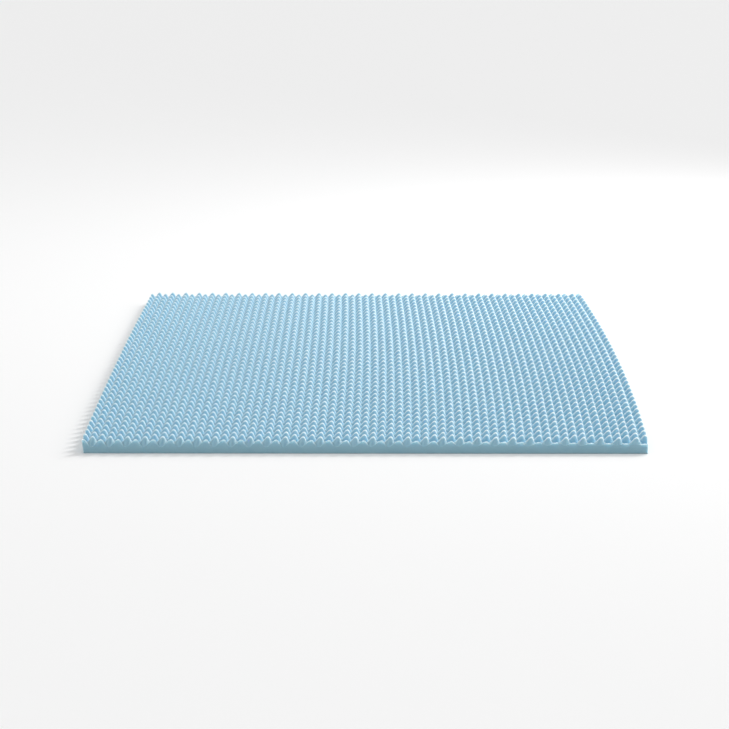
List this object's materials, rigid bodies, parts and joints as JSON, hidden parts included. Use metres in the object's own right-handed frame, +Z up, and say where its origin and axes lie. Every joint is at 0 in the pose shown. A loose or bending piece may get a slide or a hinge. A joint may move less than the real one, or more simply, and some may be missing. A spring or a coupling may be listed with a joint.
{
  "type": "mattress topper",
  "caption": "Flat queen-size foam mattress topper with an egg-crate upper side of bumps and dimples, plain cut sides and a flat underside.",
  "frame": {"origin": "on the underside, below the middle of the slab's bounding box", "axes": "+Z up through the slab, +Y along its length towards the head end, +X across it to the right"},
  "size_m": [1.5488, 2.032, 0.044],
  "materials": {
    "blue_foam": "soft open-cell foam, matt, pale blue all through, paler on the crests of the bumps"
  },
  "bodies": {
    "root": {"foam_topper": "blue_foam"}
  },
  "joints": []
}
